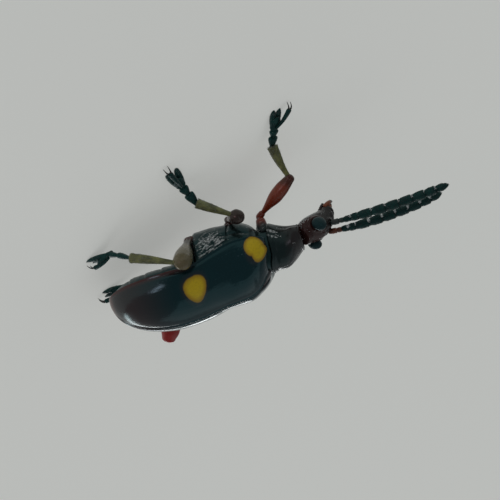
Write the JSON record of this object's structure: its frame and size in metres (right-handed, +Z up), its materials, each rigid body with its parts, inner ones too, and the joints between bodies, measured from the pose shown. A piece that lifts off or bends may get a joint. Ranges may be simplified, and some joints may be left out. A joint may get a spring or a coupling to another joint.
{
  "type": "lily leaf beetle model",
  "caption": "Life-size still model of a spotted lily leaf beetle, standing on its six feet with its head and feelers stretched forward.",
  "frame": {"origin": "on the floor, in the middle of the model's box", "axes": "+X to the beetle's head, +Y to its left side, +Z up"},
  "size_m": [0.0141, 0.0108, 0.0052],
  "materials": {
    "elytron": "smooth glossy cuticle, blue-black with two pale yellow spots on each wing case",
    "pronotum": "glossy dark red-brown cuticle",
    "head": "dark red-brown cuticle with fine pale hairs",
    "underside": "dark brown cuticle under short silvery hairs",
    "eye": "glossy black facetted eye",
    "mouth": "red-brown translucent cuticle",
    "antenna": "blue-black cuticle under short dark hairs",
    "leg": "glossy dark red cuticle",
    "tibia": "olive-brown cuticle with short pale hairs",
    "tarsus": "blue-black cuticle with hairy soles"
  },
  "bodies": {
    "root": {"abdomen": "underside", "antenna_flagellum_left": "antenna", "antenna_flagellum_right": "antenna", "antenna_scape_left": "mouth", "antenna_scape_right": "mouth", "elytron_left": "elytron", "elytron_right": "elytron", "eye_left": "eye", "eye_right": "eye", "head": "head", "hind_thorax": "underside", "labrum": "mouth", "leg_front_left_coxa": "leg", "leg_front_left_femur": "leg", "leg_front_left_tarsus": "tarsus", "leg_front_left_tibia": "tibia", "leg_front_right_coxa": "leg", "leg_front_right_femur": "leg", "leg_front_right_tarsus": "tarsus", "leg_front_right_tibia": "tibia", "leg_hind_left_coxa": "leg", "leg_hind_left_femur": "leg", "leg_hind_left_tarsus": "tarsus", "leg_hind_left_tibia": "tibia", "leg_hind_right_coxa": "leg", "leg_hind_right_femur": "leg", "leg_hind_right_tarsus": "tarsus", "leg_hind_right_tibia": "tibia", "leg_middle_left_coxa": "leg", "leg_middle_left_femur": "leg", "leg_middle_left_tarsus": "tarsus", "leg_middle_left_tibia": "tibia", "leg_middle_right_coxa": "leg", "leg_middle_right_femur": "leg", "leg_middle_right_tarsus": "tarsus", "leg_middle_right_tibia": "tibia", "mandible_left": "mouth", "mandible_right": "mouth", "palp_left": "mouth", "palp_right": "mouth", "pronotum": "pronotum", "scutellum": "pronotum"}
  },
  "joints": []
}
